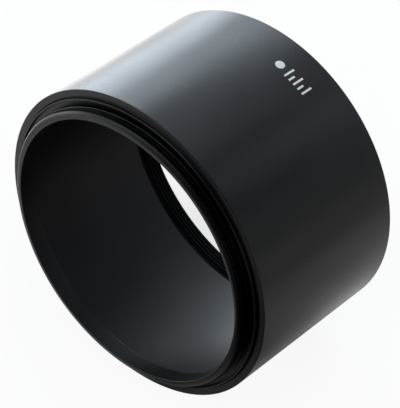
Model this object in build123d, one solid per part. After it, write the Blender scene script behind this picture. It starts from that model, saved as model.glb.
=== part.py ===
from build123d import *
import math
import os

# Screw-in telephoto lens hood, millimetres.
# Frame: the optical axis is +Y and horizontal, because the hood lies on its side. The origin is on that axis, in the
# plane of the barrel's lens-end face. The lens end looks towards -Y, the scene end towards +Y, and +Z is up.

# barrel: a turned aluminium tube
BARREL_R = 32.0            # outer radius
BARREL_LEN = 36.05         # lens-end face to front rim
BARREL_EDGE = 0.08         # both outer edges are only just broken
BORE_R = 30.25             # plain bore
SEAT_R = 30.55             # counterbore that the mount ring is pressed into
SEAT_DEPTH = 2.30          # the ring is pushed in until it meets this step
SEAT_LEAD = 0.10           # lead-in chamfer of the counterbore

# front thread: female M62 x 0.75 in the barrel, behind a relief groove
FRONT_MINOR_R = 30.594     # crests of the female thread
FRONT_MAJOR_R = 31.00      # roots of the female thread
FRONT_RELIEF_R = 31.10
FRONT_RELIEF_FROM = 31.35  # the groove runs from here ...
FRONT_RELIEF_TO = 32.35    # ... to here, and the thread from here to the rim
FRONT_LEAD = 0.45          # lead-in chamfer at the rim
FRONT_PITCH = 0.75

# mount ring: a turned aluminium ring with the male M58 x 0.75 thread
THREAD_MAJOR_R = 29.00
MOUNT_PITCH = 0.75
THREAD_DEPTH = 0.46        # 0.6134 x pitch
THREAD_OPENING = 0.656     # groove width at the crests
THREAD_ROOT = 0.125        # groove width at the root
RING_BORE_R = 27.35        # clear aperture
NOSE_Y = -2.83             # lens-end face of the ring
NOSE_ROUND = 1.25          # the nose's outer edge is rounded over, which leads the thread in
NOSE_INNER_EDGE = 0.08     # chamfer at the nose's inner edge
THREAD_RELIEF_R = 28.35    # undercut between the thread and the floor
THREAD_RELIEF_FROM = -0.50
FLOOR_R = 30.00            # the lens's filter rim closes on the flat floor inside this radius, in the plane y = 0
RIM_R = 30.40              # outer radius of the raised rim round the floor
RIM_Y = -0.60              # top of the raised rim
RIM_EDGE = 0.08
LAND_TO = 0.395            # the clear aperture's land ends here ...
FLARE_SLOPE = 1.43         # ... and opens along a 55 degree cone
FLARE_R = 29.95
CREST_AT_X = -0.5685       # axial place of a thread crest on the +X side

# index marking: white ink on the barrel's upper front, as thin solids
INK = 0.03                 # thickness
MARK_LOW, MARK_HIGH = 27.75, 30.45   # axial extent
MARK_FROM, MARK_TO = 59.2, 73.8      # angular extent, degrees from +X towards +Z
TICK_W = 0.42


def turned(points):
    """A solid of revolution about the optical axis from (radius, axial) points."""
    return revolve(make_face(Polyline(*points, close=True)), Axis.Y, 360)


def threaded(blank, pitch, crest_r, root_r, opening, root_flat, start, turns):
    """The blank with a right-hand helical V groove about the optical axis.

    The groove's centre crosses the +X side at the axial place start and runs from there in +Y. It is as wide as opening
    at crest_r, and root_flat wide at root_r. A male thread's crest is its larger radius, a female one's its smaller.
    """
    out = 1 if crest_r > root_r else -1
    lean = (opening - root_flat) / 2 / abs(crest_r - root_r)
    half = opening / 2 + 0.04 * lean                       # just past the crest, still narrower than the pitch
    section = Polyline(
        (crest_r + out * 0.3, 0, -half),
        (crest_r + out * 0.04, 0, -half),
        (root_r, 0, -root_flat / 2),
        (root_r, 0, root_flat / 2),
        (crest_r + out * 0.04, 0, half),
        (crest_r + out * 0.3, 0, half),
        close=True,
    )
    path = Helix(pitch=pitch, height=pitch * turns, radius=(crest_r + root_r) / 2)
    groove = sweep(make_face(section), path=path, is_frenet=True)
    # a right-hand helix about Z stays right-handed when Z is laid along Y
    return blank - Pos(0, start, 0) * Rot(-90, 0, 0) * groove


def barrel():
    inner = 31.4           # the thread is cut in a band inside this radius, which is then one with the tube
    tube = turned([
        (SEAT_R + SEAT_LEAD, 0),
        (BARREL_R - BARREL_EDGE, 0),
        (BARREL_R, BARREL_EDGE),
        (BARREL_R, BARREL_LEN - BARREL_EDGE),
        (BARREL_R - BARREL_EDGE, BARREL_LEN),
        (inner, BARREL_LEN),
        (inner, FRONT_RELIEF_TO),
        (FRONT_RELIEF_R, FRONT_RELIEF_TO),
        (FRONT_RELIEF_R, FRONT_RELIEF_FROM + 0.25),
        (BORE_R, FRONT_RELIEF_FROM - 0.25),
        (BORE_R, SEAT_DEPTH),
        (SEAT_R, SEAT_DEPTH),
        (SEAT_R, SEAT_LEAD),
    ])
    band = turned([
        (inner, FRONT_RELIEF_TO),
        (inner, BARREL_LEN),
        (FRONT_MINOR_R + FRONT_LEAD, BARREL_LEN),
        (FRONT_MINOR_R, BARREL_LEN - FRONT_LEAD),
        (FRONT_MINOR_R, FRONT_RELIEF_TO + 0.30),
        (FRONT_RELIEF_R, FRONT_RELIEF_TO),
    ])
    low, high = FRONT_RELIEF_TO - 3, BARREL_LEN + 3
    blank = turned([(FRONT_MINOR_R, low), (inner, low), (inner, high), (FRONT_MINOR_R, high)])
    start = low + 0.9
    turns = math.floor((high - 0.9 - start) / FRONT_PITCH)
    return tube + (band & threaded(blank, FRONT_PITCH, FRONT_MINOR_R, FRONT_MAJOR_R, 0.565, 0.096, start, turns))


def mount_ring():
    # the thread is cut in a collar outside this radius, where the end face meets the rounding, and the collar is
    # then one with the ring
    core = THREAD_MAJOR_R - NOSE_ROUND
    ring = turned([
        (RING_BORE_R + NOSE_INNER_EDGE, NOSE_Y),
        (core, NOSE_Y),
        (core, THREAD_RELIEF_FROM + 0.15),
        (THREAD_RELIEF_R, THREAD_RELIEF_FROM + 0.15),
        (THREAD_RELIEF_R, 0),
        (FLOOR_R, 0),
        (FLOOR_R, RIM_Y + RIM_EDGE),
        (FLOOR_R + RIM_EDGE, RIM_Y),
        (RIM_R - RIM_EDGE, RIM_Y),
        (RIM_R, RIM_Y + RIM_EDGE),
        (RIM_R, 0.05),
        (SEAT_R, 0.20),
        (SEAT_R, SEAT_DEPTH),
        (FLARE_R, SEAT_DEPTH),
        (FLARE_R, LAND_TO + (FLARE_R - RING_BORE_R) / FLARE_SLOPE),
        (RING_BORE_R, LAND_TO),
        (RING_BORE_R, NOSE_Y + NOSE_INNER_EDGE),
    ])
    half = NOSE_ROUND * math.sqrt(0.5)
    edge = Polyline(
        (THREAD_MAJOR_R, NOSE_Y + NOSE_ROUND),
        (THREAD_MAJOR_R, THREAD_RELIEF_FROM),
        (THREAD_RELIEF_R, THREAD_RELIEF_FROM + 0.15),
        (core, THREAD_RELIEF_FROM + 0.15),
        (core, NOSE_Y),
    )
    rounding = ThreePointArc(
        (core, NOSE_Y),
        (core + half, NOSE_Y + NOSE_ROUND - half),
        (THREAD_MAJOR_R, NOSE_Y + NOSE_ROUND),
    )
    collar = revolve(make_face(edge + rounding), Axis.Y, 360)
    low, high = NOSE_Y - 3, THREAD_RELIEF_FROM + 3
    blank = turned([(core, low), (THREAD_MAJOR_R, low), (THREAD_MAJOR_R, high), (core, high)])
    start = CREST_AT_X + MOUNT_PITCH / 2 - 6 * MOUNT_PITCH
    root_r = THREAD_MAJOR_R - THREAD_DEPTH
    return ring + (collar & threaded(blank, MOUNT_PITCH, THREAD_MAJOR_R, root_r, THREAD_OPENING, THREAD_ROOT, start, 8))


def on_barrel(outline, angle):
    """A flat outline, x along the barrel's circumference and y along its axis, as a thin solid on its surface."""
    blank = extrude(Pos(0, 0, BARREL_R - 2.0) * outline, amount=4.0)
    # the outline's plane normal is turned from +Z to the given angle in the XZ plane
    blank = Rot(0, 90 - angle, 0) * blank
    return blank & ink_shell


def marks():
    """A filled index dot and a row of graduation ticks."""
    mid = (MARK_LOW + MARK_HIGH) / 2
    per_mm = math.degrees(1 / BARREL_R)
    places = []
    dot_r = 0.95
    places.append((Circle(dot_r), MARK_TO - dot_r * per_mm, mid))
    left = MARK_TO - 2 * dot_r * per_mm
    step = (left - MARK_FROM - TICK_W * per_mm) / 5
    for i in range(5):
        tall = MARK_HIGH - MARK_LOW if i % 2 == 0 else 0.6 * (MARK_HIGH - MARK_LOW)
        places.append((Rectangle(TICK_W, tall), left - TICK_W / 2 * per_mm - step * (i + 1), MARK_LOW + tall / 2))
    return [on_barrel(Pos(0, y, 0) * shape, angle) for shape, angle, y in places]


ink_shell = turned([
    (BARREL_R, MARK_LOW - 1),
    (BARREL_R + INK, MARK_LOW - 1),
    (BARREL_R + INK, MARK_HIGH + 1),
    (BARREL_R, MARK_HIGH + 1),
])

os.makedirs("parts", exist_ok=True)
export_step(barrel(), "parts/barrel.step")
export_step(mount_ring(), "parts/mount_ring.step")
solids = []
for mark in marks():
    solids += mark.solids()
export_step(Compound(children=solids), "parts/index_marking.step")
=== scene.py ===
"""A screw-in telephoto lens hood in black anodised aluminium, lying on its side.

Frame: the optical axis is +Y, the lens end faces -Y, +Z is up, and the origin is on the axis in the plane of the
barrel's lens-end face. Profiles are written in millimetres as (radius, axial place) and meshed in metres.
"""
import math

import bpy
import numpy as np
from mathutils import Matrix, Vector


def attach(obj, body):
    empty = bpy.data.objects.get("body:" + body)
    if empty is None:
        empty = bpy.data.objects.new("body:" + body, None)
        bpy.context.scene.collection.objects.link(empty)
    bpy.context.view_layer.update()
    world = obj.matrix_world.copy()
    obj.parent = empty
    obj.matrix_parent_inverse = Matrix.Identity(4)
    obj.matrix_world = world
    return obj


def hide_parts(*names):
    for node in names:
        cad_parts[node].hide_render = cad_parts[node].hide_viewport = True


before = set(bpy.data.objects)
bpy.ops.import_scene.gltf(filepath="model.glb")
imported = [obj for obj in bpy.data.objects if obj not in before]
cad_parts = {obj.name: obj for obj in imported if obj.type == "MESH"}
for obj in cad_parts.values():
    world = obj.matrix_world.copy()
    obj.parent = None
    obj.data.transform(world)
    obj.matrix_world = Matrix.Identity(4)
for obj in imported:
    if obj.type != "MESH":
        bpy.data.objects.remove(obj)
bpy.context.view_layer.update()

MM = 0.001
COLS = 512
MALE_PITCH, MALE_DEPTH = 0.75, 0.46
FEMALE_PITCH = 0.75

# ---------------------------------------------------------------------------------------------------------------------
# meshes


def fillet(corners, seg=4, support=0.05):
    """The points of a closed profile whose corners (r, y, radius, tag) are rounded, with a support point on each side.

    A corner's tag names the surface that runs from it to the next corner. Returns [(r, y, tag), ...].
    """
    out = []
    n = len(corners)
    for i, (r, y, rad, tag) in enumerate(corners):
        before = corners[i - 1]
        after = corners[(i + 1) % n]
        p = Vector((r, y))
        a = Vector(before[:2]) - p
        b = Vector(after[:2]) - p
        la, lb = a.length, b.length
        a.normalize()
        b.normalize()
        turn = a.angle(b)
        if rad <= 0 or turn > math.radians(179):
            out.append((r, y, tag))
            continue
        t = min(rad / math.tan(turn / 2), 0.42 * la, 0.42 * lb)
        rad = t * math.tan(turn / 2)
        centre = p + (a + b).normalized() * (rad / math.sin(turn / 2))
        first, last = p + a * t, p + b * t
        if la - t > 2.5 * support:
            s = p + a * (t + support)
            out.append((s.x, s.y, before[3]))
        va, vb = first - centre, last - centre
        sweep = va.angle(vb)
        sign = 1 if va.x * vb.y - va.y * vb.x > 0 else -1
        for k in range(seg + 1):
            w = sign * sweep * k / seg
            q = centre + Vector(
                (va.x * math.cos(w) - va.y * math.sin(w), va.x * math.sin(w) + va.y * math.cos(w))
            )
            out.append((q.x, q.y, tag if k == seg else (before[3] if k < seg / 2 else tag)))
        if lb - t > 2.5 * support:
            s = p + b * (t + support)
            out.append((s.x, s.y, tag))
    return out


def soft_min(a, b, k):
    """The smaller of two arrays, with the corner between them rounded over k."""
    h = np.clip(0.5 + 0.5 * (b - a) / k, 0, 1)
    return b * (1 - h) + a * h - k * h * (1 - h)


def thread_wave(y, alpha, pitch, at_x, flat_half, depth, k=0.035):
    """How far a right-hand V thread stands below its flat at each place, from 0 to depth.

    at_x is the axial place of the flat's centre on the +X side, which moves towards -Y as alpha grows.
    """
    u = (y - at_x + pitch * alpha / (2 * math.pi)) / pitch
    u = np.abs(u - np.round(u)) * pitch
    flank = (u - flat_half) / math.tan(math.radians(30))
    drop = -soft_min(-flank, np.zeros_like(flank), k)
    return soft_min(drop, np.full_like(drop, depth), k)


def turned_mesh(name, rows, materials, cols=COLS):
    """A closed mesh turned about Y. Each row is (radius, axial place, material index), where each of the three may be
    an array with one value for each column."""
    alpha = np.arange(cols) * 2 * math.pi / cols
    verts = np.empty((len(rows), cols, 3))
    for k, (r, y, _) in enumerate(rows):
        r = np.broadcast_to(r, cols)
        verts[k, :, 0] = r * np.cos(alpha)
        verts[k, :, 1] = np.broadcast_to(y, cols)
        verts[k, :, 2] = r * np.sin(alpha)
    n = len(rows)
    k = np.arange(n)[:, None]
    j = np.arange(cols)[None, :]
    k2, j2 = (k + 1) % n, (j + 1) % cols
    quads = np.stack(
        [k * cols + j + 0 * j2, k * cols + j2 + 0 * k, k2 * cols + j2, k2 * cols + j], axis=-1
    ).reshape(-1, 4)
    mesh = bpy.data.meshes.new(name)
    mesh.from_pydata((verts.reshape(-1, 3) * MM).tolist(), [], quads.tolist())
    mesh.update()
    # outward normals: the volume of a closed mesh with outward faces is positive
    v = verts.reshape(-1, 3)
    a, b, c, d = (v[quads[:, i]] for i in range(4))
    vol = np.einsum("ij,ij->i", a, np.cross(b, c)).sum() + np.einsum("ij,ij->i", a, np.cross(c, d)).sum()
    if vol < 0:
        mesh.flip_normals()
    for m in materials:
        mesh.materials.append(m)
    index = np.stack([np.broadcast_to(r[2], cols) for r in rows]).reshape(-1)
    mesh.polygons.foreach_set("material_index", index.astype(np.int32))
    mesh.polygons.foreach_set("use_smooth", np.ones(len(quads), dtype=bool))
    mesh.update()
    obj = bpy.data.objects.new(name, mesh)
    bpy.context.scene.collection.objects.link(obj)
    return obj


ALPHA = np.arange(COLS) * 2 * math.pi / COLS


def zone(points, place, step):
    """Evenly spaced (r, y) samples along the open polyline `points`, no further apart than step."""
    out = []
    for (r0, y0), (r1, y1) in zip(points, points[1:]):
        n = max(1, math.ceil(math.hypot(r1 - r0, y1 - y0) / step))
        out += [(r0 + (r1 - r0) * i / n, y0 + (y1 - y0) * i / n) for i in range(n)]
    out.append(points[-1])
    return out if place is None else [(r, y, place) for r, y in out]


# ---------------------------------------------------------------------------------------------------------------------
# materials


class Nodes:
    """A small helper that writes node trees."""

    def __init__(self, name):
        self.mat = bpy.data.materials.new(name)
        self.mat.use_nodes = True
        self.tree = self.mat.node_tree
        self.tree.nodes.clear()
        self.out = self.add("ShaderNodeOutputMaterial")
        self.bsdf = self.add("ShaderNodeBsdfPrincipled")
        self.link(self.bsdf.outputs[0], self.out.inputs["Surface"])

    def add(self, kind, **props):
        node = self.tree.nodes.new(kind)
        for key, value in props.items():
            setattr(node, key, value)
        return node

    def link(self, a, b):
        self.tree.links.new(a, b)

    def math(self, op, a, b=None, c=None, clamp=False):
        node = self.add("ShaderNodeMath", operation=op, use_clamp=clamp)
        for i, value in enumerate((a, b, c)):
            if value is None:
                continue
            if isinstance(value, (int, float)):
                node.inputs[i].default_value = value
            else:
                self.link(value, node.inputs[i])
        return node.outputs[0]

    def noise(self, vector, scale, detail=3.0, rough=0.55, kind="FBM"):
        node = self.add("ShaderNodeTexNoise", noise_dimensions="3D")
        node.inputs["Scale"].default_value = scale
        node.inputs["Detail"].default_value = detail
        node.inputs["Roughness"].default_value = rough
        self.link(vector, node.inputs["Vector"])
        return node.outputs["Fac"]

    def range(self, value, a, b, c, d, smooth=True):
        node = self.add("ShaderNodeMapRange", interpolation_type="SMOOTHSTEP" if smooth else "LINEAR")
        self.link(value, node.inputs["Value"])
        for key, v in zip(("From Min", "From Max", "To Min", "To Max"), (a, b, c, d)):
            node.inputs[key].default_value = v
        return node.outputs["Result"]

    def mix(self, factor, a, b):
        node = self.add("ShaderNodeMix", data_type="RGBA")
        self.link(factor, node.inputs[0])
        for socket, value in ((node.inputs[6], a), (node.inputs[7], b)):
            if isinstance(value, tuple):
                socket.default_value = (*value, 1.0)
            else:
                self.link(value, socket)
        return node.outputs[2]

    def bump(self, height, distance, strength=1.0, normal=None):
        node = self.add("ShaderNodeBump")
        node.inputs["Strength"].default_value = strength
        node.inputs["Distance"].default_value = distance
        self.link(height, node.inputs["Height"])
        if normal is not None:
            self.link(normal, node.inputs["Normal"])
        return node.outputs["Normal"]

    def place(self):
        """Object coordinates in millimetres, the radius and the axial place."""
        coord = self.add("ShaderNodeTexCoord").outputs["Object"]
        scale = self.add("ShaderNodeVectorMath", operation="SCALE")
        self.link(coord, scale.inputs[0])
        scale.inputs["Scale"].default_value = 1000.0
        mm = scale.outputs[0]
        sep = self.add("ShaderNodeSeparateXYZ")
        self.link(mm, sep.inputs[0])
        x, y, z = sep.outputs
        radius = self.math("SQRT", self.math("ADD", self.math("MULTIPLY", x, x), self.math("MULTIPLY", z, z)))
        return mm, radius, y

    def rings(self, radius, y, frequency, detail=2.0):
        """Noise that varies only across a lathe's tool path, so it draws rings."""
        both = self.add("ShaderNodeCombineXYZ")
        self.link(radius, both.inputs[0])
        self.link(y, both.inputs[1])
        return self.noise(both.outputs[0], frequency, detail, 0.6)


def anodised(name, base, roughness, grain, ring_depth, specular=0.30, blotch=0.05, dust=0.0):
    """Black anodised aluminium: a dyed oxide skin over a blasted or turned surface, with a few specks of dust."""
    m = Nodes(name)
    mm, radius, y = m.place()
    b = m.bsdf
    b.inputs["Metallic"].default_value = 0.0
    b.inputs["IOR"].default_value = 1.5
    b.inputs["Specular IOR Level"].default_value = specular
    cloud = m.noise(mm, 0.09, 3.0, 0.5)
    fine = m.noise(mm, 5.5, 3.0, 0.6)
    tone = m.math("ADD", m.math("MULTIPLY", cloud, 0.6), m.math("MULTIPLY", fine, 0.4))
    dark = tuple(c * (1 - 3 * blotch) for c in base)
    light = tuple(c * (1 + 3 * blotch) for c in base)
    colour = m.mix(m.range(tone, 0.35, 0.65, 0, 1), dark, light)
    if dust:
        # one speck in some of the cells, of its own size
        cell = m.add("ShaderNodeTexVoronoi", feature="F1", voronoi_dimensions="3D")
        cell.inputs["Scale"].default_value = 0.42
        m.link(mm, cell.inputs["Vector"])
        chance = m.add("ShaderNodeSeparateColor")
        m.link(cell.outputs["Color"], chance.inputs[0])
        size = m.math("MULTIPLY", m.range(chance.outputs[0], 1 - dust, 1.0, 0, 1), 0.030)
        speck = m.math("LESS_THAN", cell.outputs["Distance"], size)
        colour = m.mix(m.math("MULTIPLY", speck, m.range(chance.outputs[1], 0, 1, 0.3, 1.0)), colour, (0.55, 0.55, 0.53))
    m.link(colour, b.inputs["Base Color"])
    rough = m.range(m.math("ADD", m.math("MULTIPLY", cloud, 0.7), m.math("MULTIPLY", fine, 0.3)), 0.3, 0.7, roughness - 0.025, roughness + 0.025)
    m.link(rough, b.inputs["Roughness"])
    grit = m.noise(mm, 9.0, 2.0, 0.6)
    normal = m.bump(grit, grain * MM, 1.0)
    if ring_depth:
        normal = m.bump(m.rings(radius, y, 14.0), ring_depth * MM, 1.0, normal)
    m.link(normal, b.inputs["Normal"])
    return m.mat


def white_ink(name):
    m = Nodes(name)
    mm, radius, y = m.place()
    b = m.bsdf
    b.inputs["IOR"].default_value = 1.5
    b.inputs["Specular IOR Level"].default_value = 0.35
    mottle = m.noise(mm, 3.0, 4.0, 0.6)
    m.link(m.mix(m.range(mottle, 0.3, 0.7, 0, 1), (0.84, 0.85, 0.85), (0.95, 0.96, 0.95)), b.inputs["Base Color"])
    m.link(m.range(mottle, 0.3, 0.7, 0.55, 0.7), b.inputs["Roughness"])
    m.link(m.bump(m.noise(mm, 7.0, 3.0), 0.006 * MM, 1.0), b.inputs["Normal"])
    return m.mat


outer = anodised("anodised_satin", (0.0040, 0.0040, 0.0042), 0.29, 0.004, 0.0, 0.5, dust=0.30)
inner = anodised("bore_matt_black", (0.0038, 0.0038, 0.0040), 0.45, 0.006, 0.0015, 0.41)
turned = anodised("anodised_turned", (0.0030, 0.0030, 0.0030), 0.36, 0.0015, 0.0020, 0.5, dust=0.25)
# painted shade: a darker copy of the anodised black with little sheen, for the mount ring's grooves and crests
thread = anodised("male_thread_painted_shade", (0.0012, 0.0012, 0.0012), 0.42, 0.0, 0.0015, 0.06)
# a matt copy of the anodised black for the front thread. Its little sheen and flat dim tone are painted shade inside
# the opening.
front_thread_shade_paint = anodised("front_thread_matt_painted_shade", (0.0150, 0.0150, 0.0160), 0.75, 0.0, 0.0015, 0.06)
ink = white_ink("white_print")

# ---------------------------------------------------------------------------------------------------------------------
# the barrel: satin outside (slot 0), matt inside (slot 1), turned faces (slot 2), front thread in a matt copy with
# painted shade (slot 3)

ROW = 0.035
front = [(30.594 + 0.45, 36.05), (30.594, 35.60), (30.594, 32.65), (31.10, 32.35)]


def female(r, y):
    drop = thread_wave(np.full(COLS, y), ALPHA, FEMALE_PITCH, 30.25, 0.048, 0.406)
    # the wave is 0 at the root of the female thread, 31.0 mm, and 0.406 at its crest
    cut = 31.0 - drop
    return -soft_min(np.full(COLS, -r), -cut, 0.03)


corners = [
    (30.55, 0.10, 0.03, 1),
    (30.65, 0.00, 0.05, 2),
    (31.92, 0.00, 0.04, 2),
    (32.00, 0.08, 0.04, 0),
    (32.00, 35.97, 0.04, 0),
    (31.92, 36.05, 0.04, 2),
    (31.044, 36.05, 0.0, 2),
    (31.10, 32.35, 0.0, 2),
    (31.10, 31.60, 0.12, 3),
    (30.25, 31.10, 0.20, 1),
    (30.25, 2.30, 0.05, 1),
    (30.55, 2.30, 0.03, 1),
]
rows = []
for r, y, tag in fillet(corners):
    if (round(r, 3), round(y, 3)) == (31.10, 32.35):
        samples = zone(front, None, ROW)
        rows += [(female(rr, yy), yy, 3 if yy < 35.7 else 2) for rr, yy in samples]
        continue
    if (round(r, 3), round(y, 3)) == (31.044, 36.05):
        continue
    rows.append((r, y, tag))
barrel = turned_mesh("hood_barrel", rows, [outer, inner, turned, front_thread_shade_paint])

# ---------------------------------------------------------------------------------------------------------------------
# the mount ring

# the nose's outer edge is rounded over, from its end face to the thread
nose = [
    (27.75 + 1.25 * math.sin(w), -1.58 - 1.25 * math.cos(w)) for w in np.linspace(0, math.pi / 2, 37)
] + [(29.00, -0.50), (28.35, -0.35)]


def male(r, y):
    """The radius at each column, and the material: the nose and the thread's last crest are turned metal, and the
    rest of the thread, its grooves and other crests, gets a darker copy with little sheen, which is painted shade."""
    drop = thread_wave(np.full(COLS, y), ALPHA, MALE_PITCH, -0.5685, 0.047, MALE_DEPTH)
    cut = soft_min(np.full(COLS, r), 29.0 - drop, 0.03)
    # the last crest keeps the turned finish; the rest of the thread takes the darker copy, which is painted shade
    last = np.abs(y + 0.5685 + MALE_PITCH * ((ALPHA + 1.2) % (2 * math.pi) - 1.2) / (2 * math.pi)) < 0.13
    return cut, np.where(last | (y < -2.29) & (r - cut < 0.04), 0, 1)


corners = [
    (27.35, -2.75, 0.06, 0),
    (27.43, -2.83, 0.06, 0),
    (27.75, -2.83, 0.0, 0),
    (28.35, -0.35, 0.0, 1),
    (28.35, 0.00, 0.12, 0),
    (30.00, 0.00, 0.10, 0),
    (30.00, -0.60, 0.09, 0),
    (30.40, -0.60, 0.09, 0),
    (30.40, 0.05, 0.05, 0),
    (30.54, 0.20, 0.05, 0),
    (30.54, 2.30, 0.05, 0),
    (29.95, 2.30, 0.03, 0),
    (29.95, 2.213, 0.03, 0),
    (27.35, 0.395, 0.10, 0),
]
rows = []
for r, y, tag in fillet(corners):
    if (round(r, 3), round(y, 3)) == (28.35, -0.35):
        for rr, yy in zone(nose, None, 0.045):
            cut, slot = male(rr, yy)
            rows.append((cut, yy, slot))
        continue
    if (round(r, 3), round(y, 3)) == (27.75, -2.83):
        continue
    rows.append((r, y, tag))
ring = turned_mesh("hood_mount_ring", rows, [turned, thread])

# ---------------------------------------------------------------------------------------------------------------------
# the printed index marking: a dot and five ticks of ink, laid on the barrel


def ink_patch(outline, name):
    """A thin closed plate of ink on the barrel from a convex outline of (degrees, axial mm) points."""
    pts = np.array(outline)
    centre = pts.mean(0)
    rings_ = [(1.0, 31.99), (1.0, 32.014), (0.965, 32.024), (0.90, 32.028), (0.6, 32.029), (0.3, 32.029)]
    verts, faces = [], []
    n = len(pts)
    for scale, r in rings_:
        for ang, y in centre + (pts - centre) * scale:
            a = math.radians(ang)
            verts.append((r * math.cos(a) * MM, y * MM, r * math.sin(a) * MM))
    for k in range(len(rings_) - 1):
        for j in range(n):
            faces.append((k * n + j, k * n + (j + 1) % n, (k + 1) * n + (j + 1) % n, (k + 1) * n + j))
    a = math.radians(centre[0])
    top = len(verts)
    verts.append((32.029 * math.cos(a) * MM, centre[1] * MM, 32.029 * math.sin(a) * MM))
    under = len(verts)
    verts.append((31.99 * math.cos(a) * MM, centre[1] * MM, 31.99 * math.sin(a) * MM))
    last = (len(rings_) - 1) * n
    for j in range(n):
        faces.append((last + j, last + (j + 1) % n, top))
        faces.append(((j + 1) % n, j, under))
    mesh = bpy.data.meshes.new(name)
    mesh.from_pydata(verts, [], faces)
    mesh.update()
    return mesh


def joined(meshes, name, material):
    verts, faces, base = [], [], 0
    for mesh in meshes:
        verts += [tuple(v.co) for v in mesh.vertices]
        faces += [tuple(i + base for i in p.vertices) for p in mesh.polygons]
        base += len(mesh.vertices)
        bpy.data.meshes.remove(mesh)
    mesh = bpy.data.meshes.new(name)
    mesh.from_pydata(verts, [], faces)
    mesh.update()
    # every plate is seen from outside, so the whole mesh is turned if its top faces look inwards
    p = max(mesh.polygons, key=lambda q: q.center.length)
    if p.normal.dot(p.center) < 0:
        mesh.flip_normals()
    mesh.materials.append(material)
    mesh.polygons.foreach_set("use_smooth", np.ones(len(mesh.polygons), dtype=bool))
    obj = bpy.data.objects.new(name, mesh)
    bpy.context.scene.collection.objects.link(obj)
    return obj


def rounded_bar(angle, y0, y1, width, corner=0.10):
    """The outline of an axial tick, as (degrees, mm)."""
    per = math.degrees(1 / 32.0)
    out = []
    for cx, cy, start in (
        (width / 2 - corner, y1 - corner, 0),
        (-width / 2 + corner, y1 - corner, 90),
        (-width / 2 + corner, y0 + corner, 180),
        (width / 2 - corner, y0 + corner, 270),
    ):
        for k in range(6):
            w = math.radians(start + 18 * k)
            out.append((angle + (cx + corner * math.cos(w)) * per, cy + corner * math.sin(w)))
    return out


low, high, first, last = 27.75, 30.45, 59.2, 73.8
per_mm = math.degrees(1 / 32.0)
dot_r = 0.95
patches = [
    ink_patch(
        [
            (last - dot_r * per_mm + dot_r * per_mm * math.cos(w), (low + high) / 2 + dot_r * math.sin(w))
            for w in np.linspace(0, 2 * math.pi, 48, endpoint=False)
        ],
        "dot",
    )
]
left = last - 2 * dot_r * per_mm
step = (left - first - 0.42 * per_mm) / 5
for i in range(5):
    tall = high - low if i % 2 == 0 else 0.6 * (high - low)
    patches.append(ink_patch(rounded_bar(left - 0.21 * per_mm - step * (i + 1), low, low + tall, 0.42), "tick"))
marking = joined(patches, "hood_index_marking", ink)

# ---------------------------------------------------------------------------------------------------------------------
# the pieces and the frame

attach(barrel, "root")
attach(ring, "root")
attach(marking, "root")
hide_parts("barrel")
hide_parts("mount_ring")
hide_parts("index_marking")

# ---------------------------------------------------------------------------------------------------------------------
# the stage: a plain pale floor, soft studio light and the camera

scene = bpy.context.scene
FLOOR = -0.032

# How brightly the light table glows towards the hood, as (x0, x1, y0, y1, radiance) in metres: brightest far to the
# left and behind, where the big softbox lights it, and dimmer close to the hood and in front.
GLOW = [
    (-0.60, -0.09, 0.120, 0.60, 1.90),
    (-0.60, -0.09, 0.018, 0.12, 2.75),
    (-0.60, -0.09, -0.090, 0.018, 0.30),
    (-0.60, -0.09, -0.60, -0.09, 1.25),
    (-0.09, 0.09, -0.60, -0.09, 0.12),
    (-0.09, 0.00, -0.09, 0.018, 0.76),
    (0.09, 0.60, 0.018, 0.12, 0.31),
    (0.09, 0.60, 0.12, 0.60, 0.40),
    (0.008, 0.018, -0.02, 0.018, 0.27),
    (0.018, 0.028, -0.02, 0.018, 0.39),
    (0.018, 0.028, 0.018, 0.036, 0.46),
    (0.018, 0.028, 0.036, 0.055, 1.13),
    (0.028, 0.045, 0.018, 0.036, 0.30),
    (0.028, 0.045, 0.036, 0.055, 0.57),
    (0.028, 0.045, 0.055, 0.12, 0.74),
    (0.045, 0.09, 0.018, 0.036, 0.39),
    (0.045, 0.09, 0.036, 0.055, 0.40),
    (0.045, 0.09, 0.055, 0.12, 0.50),
]


def ramp(v, edge, soft):
    return 1 / (1 + np.exp(-np.clip((v - edge) / soft, -40, 40)))


def axis(*spans):
    return np.unique(np.concatenate([np.linspace(p, q, n) for p, q, n in spans]))


gx = axis((-3, -0.6, 12), (-0.6, -0.12, 33), (-0.12, 0.12, 97), (0.12, 0.6, 33), (0.6, 3, 12))
xx, yy = np.meshgrid(gx, gx)
glow = np.zeros(xx.shape)
for x0, x1, y0, y1, value in GLOW:
    sx = 0.003 if max(abs(x0), abs(x1)) < 0.1 else 0.010
    sy = 0.003 if max(abs(y0), abs(y1)) < 0.13 else 0.010
    glow += value * (ramp(xx, x0, sx) - ramp(xx, x1, sx)) * (ramp(yy, y0, sy) - ramp(yy, y1, sy))
nx = len(gx)
mesh = bpy.data.meshes.new("floor")
k = (np.arange(nx - 1)[:, None] * nx + np.arange(nx - 1)[None, :]).reshape(-1)
mesh.from_pydata(
    np.stack([xx.reshape(-1), yy.reshape(-1), np.full(nx * nx, FLOOR)], 1).tolist(),
    [],
    np.stack([k, k + 1, k + nx + 1, k + nx], 1).tolist(),
)
mesh.attributes.new("glow", "FLOAT", "POINT").data.foreach_set("value", glow.reshape(-1).astype(np.float32))
# a soft shade on the table just past the hood's front end, where it is seen through the opening
shade = 0.20 * np.exp(-((xx + 0.018) ** 2 + (yy - 0.040) ** 2) / (2 * 0.018**2))
mesh.attributes.new("shade", "FLOAT", "POINT").data.foreach_set("value", shade.reshape(-1).astype(np.float32))
mesh.update()
floor = bpy.data.objects.new("floor", mesh)
scene.collection.objects.link(floor)
m = Nodes("pale_floor")
m.bsdf.inputs["Base Color"].default_value = (0.90, 0.90, 0.90, 1)
m.bsdf.inputs["Roughness"].default_value = 0.8
m.bsdf.inputs["Specular IOR Level"].default_value = 0.0
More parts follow.
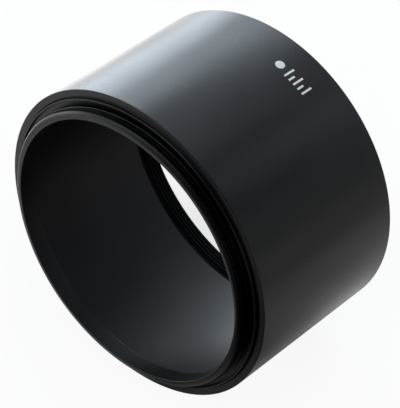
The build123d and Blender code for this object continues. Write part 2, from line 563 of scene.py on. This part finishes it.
# towards the camera: a white table with only a breath of a shadow; towards the hood: the glow
white = m.add("ShaderNodeEmission")
m.link(m.math("SUBTRACT", 1.0, m.add("ShaderNodeAttribute", attribute_name="shade").outputs["Fac"]), white.inputs["Strength"])
seen = m.add("ShaderNodeMixShader")
seen.inputs[0].default_value = 0.94
m.link(m.bsdf.outputs[0], seen.inputs[1])
m.link(white.outputs[0], seen.inputs[2])
table = m.add("ShaderNodeEmission")
m.link(m.add("ShaderNodeAttribute", attribute_name="glow").outputs["Fac"], table.inputs["Strength"])
blend = m.add("ShaderNodeMixShader")
m.link(m.add("ShaderNodeLightPath").outputs["Is Camera Ray"], blend.inputs[0])
m.link(table.outputs[0], blend.inputs[1])
m.link(seen.outputs[0], blend.inputs[2])
m.link(blend.outputs[0], m.out.inputs["Surface"])
mesh.materials.append(m.mat)


def softbox(name, azimuth, elevation, size, radiance, distance=0.9, target=(0, 0.018, 0)):
    """A square light that faces the target. Azimuth 0 is towards +Y and 90 towards +X; the radiance is red, green, blue."""
    a, e = math.radians(azimuth), math.radians(elevation)
    at = Vector(target) + distance * Vector((math.sin(a) * math.cos(e), math.cos(a) * math.cos(e), math.sin(e)))
    mean = sum(radiance) / 3
    data = bpy.data.lights.new(name, "AREA")
    data.shape = "SQUARE"
    data.size = size
    data.energy = mean * math.pi * size * size
    data.color = [c / mean for c in radiance]
    light = bpy.data.objects.new(name, data)
    light.location = at
    light.rotation_euler = (at - Vector(target)).to_track_quat("Z", "Y").to_euler()
    light.visible_camera = False
    scene.collection.objects.link(light)
    return light


softbox("key_low", -60, 8, 0.42, (3.89, 4.35, 4.72))
softbox("key_high", -60, 32, 0.42, (2.82, 3.11, 3.47))
softbox("back_high", -30, 32, 0.42, (2.37, 2.74, 3.00))
softbox("left_high", -90, 32, 0.42, (0.91, 0.97, 0.99))
softbox("back_top", 0, 60, 0.50, (0.51, 0.55, 0.65))
softbox("top", 0, 88, 0.60, (2.20, 2.44, 2.48))
softbox("back_right_high", 30, 32, 0.42, (0.55, 0.57, 0.62))
softbox("back_right_low", 30, 8, 0.42, (0.64, 0.64, 0.77))
softbox("left_low", -105, 4, 0.42, (2.7, 2.9, 3.0))
softbox("left_front", -135, 14, 0.42, (0.75, 0.8, 0.8))
softbox("left_front_high", -138, 46, 0.60, (0.75, 0.79, 0.82))
softbox("front_high", 178, 56, 0.60, (0.26, 0.27, 0.28))
softbox("right_low", 60, 8, 0.42, (0.20, 0.21, 0.19))
softbox("right", 90, 8, 0.42, (1.60, 1.66, 1.48))

world = bpy.data.worlds.new("studio")
scene.world = world
world.use_nodes = True
bg = world.node_tree.nodes["Background"]
bg.inputs[0].default_value = (0.84, 0.91, 1.12, 1)
# the studio is dark in front of the hood, towards -Y
nodes, links = world.node_tree.nodes, world.node_tree.links
split = nodes.new("ShaderNodeSeparateXYZ")
links.new(nodes.new("ShaderNodeTexCoord").outputs["Generated"], split.inputs[0])
fade = nodes.new("ShaderNodeMapRange")
fade.interpolation_type = "SMOOTHSTEP"
for key, value in (("From Min", -0.5), ("From Max", 0.1), ("To Min", 0.012), ("To Max", 0.08)):
    fade.inputs[key].default_value = value
links.new(split.outputs[1], fade.inputs["Value"])
links.new(fade.outputs["Result"], bg.inputs[1])
# past the floor's far edge there is only the white of the studio to see
backdrop = nodes.new("ShaderNodeBackground")
backdrop.inputs[0].default_value = (0.98, 0.98, 0.98, 1)
backdrop.inputs[1].default_value = 1.0
choose = nodes.new("ShaderNodeMixShader")
links.new(nodes.new("ShaderNodeLightPath").outputs["Is Camera Ray"], choose.inputs[0])
links.new(bg.outputs[0], choose.inputs[1])
links.new(backdrop.outputs[0], choose.inputs[2])
links.new(choose.outputs[0], nodes["World Output"].inputs["Surface"])

scene.view_settings.view_transform = "Standard"
scene.view_settings.look = "None"

cam_data = bpy.data.cameras.new("camera")
cam_data.sensor_fit = "VERTICAL"
cam_data.sensor_width = 36.0
cam_data.sensor_height = 36.0
cam_data.lens = 1922.1 * 36.0 / 408.0
cam_data.clip_start = 0.01
camera = bpy.data.objects.new("camera", cam_data)
camera.location = (0.19492, -0.19609, 0.22560)
fwd = Vector((-0.53030, 0.58317, -0.61540))
camera.rotation_euler = fwd.to_track_quat("-Z", "Y").to_euler()
scene.collection.objects.link(camera)
scene.camera = camera
